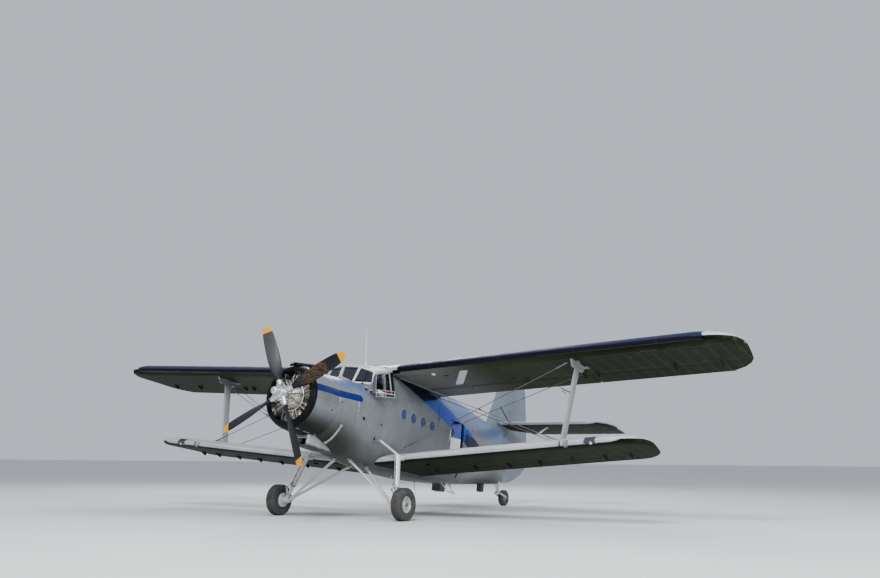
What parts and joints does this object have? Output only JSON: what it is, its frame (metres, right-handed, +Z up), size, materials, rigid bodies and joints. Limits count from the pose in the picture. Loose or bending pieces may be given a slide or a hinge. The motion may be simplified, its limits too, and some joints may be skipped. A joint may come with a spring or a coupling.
{
  "type": "single-engine transport biplane",
  "caption": "Large all-metal transport biplane with a radial engine, enclosed side-by-side cockpit, cabin with round windows, braced wings and fixed tailwheel gear.",
  "frame": {"origin": "on the ground under the middle of the bounding box", "axes": "+X to port along the span, -Y toward the nose, +Z up"},
  "size_m": [18.1578, 12.0548, 4.545],
  "materials": {
    "silver": "semi-gloss silver-grey paint",
    "navy": "satin dark blue paint",
    "black": "satin black paint",
    "blade": "satin black paint with yellow tips",
    "bright": "polished",
    "engine": "heat-stained metal",
    "strut": "gloss pale grey paint",
    "rubber": "worn matt rubber",
    "glass": "clear, slightly tinted",
    "interior": "matt grey-green paint",
    "seat": "matt"
  },
  "bodies": {
    "airframe": {"nose_section": "silver", "cockpit_shell": "silver", "canopy_frame": "strut", "canopy_glazing": "glass", "cockpit_floor": "interior", "instrument_panel": "interior", "pilot_seat_left": "seat", "pilot_seat_right": "seat", "cabin_shell": "silver", "cabin_floor": "interior", "window_strip_left": "glass", "window_strip_right": "glass", "tail_cone": "silver", "cowl_lip": "black", "cowl_panels": "silver", "engine": "engine", "intake_scoop": "black", "oil_cooler": "silver", "exhaust_pipe": "engine", "upper_wing_left": "silver", "upper_wing_right": "silver", "lower_wing_left": "silver", "lower_wing_right": "silver", "interplane_strut_left": "strut", "interplane_strut_right": "strut", "stay_wires_left": "bright", "stay_wires_right": "bright", "tailplane": "silver", "fin": "silver", "tail_strut_left": "strut", "tail_strut_right": "strut", "gear_leg_left": "strut", "gear_leg_right": "strut", "gear_struts_left": "strut", "gear_struts_right": "strut", "tail_leg": "strut", "antenna_mast": "strut"},
    "propeller": {"propeller_blades": "blade", "propeller_dome": "bright", "propeller_flange": "bright"},
    "wheel_left": {"tyre_left": "rubber", "wheel_hub_left": "bright"},
    "wheel_right": {"tyre_right": "rubber", "wheel_hub_right": "bright"},
    "tail_fork": {"tail_fork": "strut"},
    "tail_wheel": {"tail_tyre": "rubber", "tail_wheel_hub": "bright"},
    "rudder": {"rudder": "silver"},
    "elevator_left": {"elevator_left": "silver"},
    "elevator_right": {"elevator_right": "silver"},
    "aileron_left": {"aileron_left": "silver"},
    "aileron_right": {"aileron_right": "silver"},
    "upper_flap_left": {"upper_flap_left": "silver"},
    "upper_flap_right": {"upper_flap_right": "silver"},
    "lower_flap_left": {"lower_flap_left": "silver"},
    "lower_flap_right": {"lower_flap_right": "silver"},
    "slat_left": {"slat_left": "navy"},
    "slat_right": {"slat_right": "navy"},
    "door": {"passenger_door": "silver"}
  },
  "joints": [
    {"name": "propeller_spin", "type": "hinge", "parent": "airframe", "child": "propeller", "pos_m": [0, -5.6978, 2.783], "axis": [0, 0.9834, -0.1817], "continuous": true},
    {"name": "wheel_left_spin", "type": "hinge", "parent": "airframe", "child": "wheel_left", "pos_m": [1.835, -3.5978, 0.37021], "axis": [1, 0, 0], "continuous": true},
    {"name": "wheel_right_spin", "type": "hinge", "parent": "airframe", "child": "wheel_right", "pos_m": [-1.835, -3.5978, 0.37021], "axis": [1, 0, 0], "continuous": true},
    {"name": "tail_swivel", "type": "hinge", "parent": "airframe", "child": "tail_fork", "pos_m": [0, 4.1122, 0.43], "axis": [0, 0, 1], "range_deg": [-80, 80]},
    {"name": "tail_wheel_spin", "type": "hinge", "parent": "tail_fork", "child": "tail_wheel", "pos_m": [0, 4.4872, 0.23299], "axis": [1, 0, 0], "continuous": true},
    {"name": "rudder_hinge", "type": "hinge", "parent": "airframe", "child": "rudder", "pos_m": [0, 4.54851, 1.90644], "axis": [0, 0.1817, 0.9834], "range_deg": [-28, 28]},
    {"name": "elevator_left_hinge", "type": "hinge", "parent": "airframe", "child": "elevator_left", "pos_m": [1.9, 4.83988, 2.30004], "axis": [1, 0, 0], "range_deg": [-22, 42]},
    {"name": "elevator_right_hinge", "type": "hinge", "parent": "airframe", "child": "elevator_right", "pos_m": [-1.9, 4.83988, 2.30004], "axis": [1, 0, 0], "range_deg": [-22, 42]},
    {"name": "aileron_left_hinge", "type": "hinge", "parent": "airframe", "child": "aileron_left", "pos_m": [6.8768, -0.84865, 3.50418], "axis": [0.9987, 0.0093, 0.0503], "range_deg": [-20, 20]},
    {"name": "aileron_right_hinge", "type": "hinge", "parent": "airframe", "child": "aileron_right", "pos_m": [-6.8768, -0.84865, 3.50418], "axis": [0.9987, -0.0093, -0.0503], "range_deg": [-20, 20]},
    {"name": "upper_flap_left_hinge", "type": "hinge", "parent": "airframe", "child": "upper_flap_left", "pos_m": [3.13669, -0.88344, 3.31594], "axis": [0.9987, 0.0093, 0.0503], "range_deg": [-40, 0]},
    {"name": "upper_flap_right_hinge", "type": "hinge", "parent": "airframe", "child": "upper_flap_right", "pos_m": [-3.13669, -0.88344, 3.31594], "axis": [0.9987, -0.0093, -0.0503], "range_deg": [-40, 0]},
    {"name": "lower_flap_left_hinge", "type": "hinge", "parent": "airframe", "child": "lower_flap_left", "pos_m": [3.79536, -1.46062, 1.3519], "axis": [0.9967, 0.0147, 0.0795], "range_deg": [-40, 0]},
    {"name": "lower_flap_right_hinge", "type": "hinge", "parent": "airframe", "child": "lower_flap_right", "pos_m": [-3.79536, -1.46062, 1.3519], "axis": [0.9967, -0.0147, -0.0795], "range_deg": [-40, 0]},
    {"name": "slat_left_slide", "type": "slide", "parent": "airframe", "child": "slat_left", "axis": [0.0011, -0.9869, 0.1611], "range_m": [0, 0.09]},
    {"name": "slat_right_slide", "type": "slide", "parent": "airframe", "child": "slat_right", "axis": [-0.0011, -0.9869, 0.1611], "range_m": [0, 0.09]},
    {"name": "door_hinge", "type": "hinge", "parent": "airframe", "child": "door", "pos_m": [0.64, 0.63596, 1.61254], "axis": [0, 0.1817, 0.9834], "range_deg": [-52, 28]}
  ],
  "couplings": [
    {"joint": "elevator_right_hinge", "follows": "elevator_left_hinge", "ratio": 1},
    {"joint": "aileron_right_hinge", "follows": "aileron_left_hinge", "ratio": -1},
    {"joint": "upper_flap_right_hinge", "follows": "upper_flap_left_hinge", "ratio": 1},
    {"joint": "lower_flap_left_hinge", "follows": "upper_flap_left_hinge", "ratio": 1},
    {"joint": "lower_flap_right_hinge", "follows": "upper_flap_left_hinge", "ratio": 1},
    {"joint": "slat_right_slide", "follows": "slat_left_slide", "ratio": 1}
  ]
}
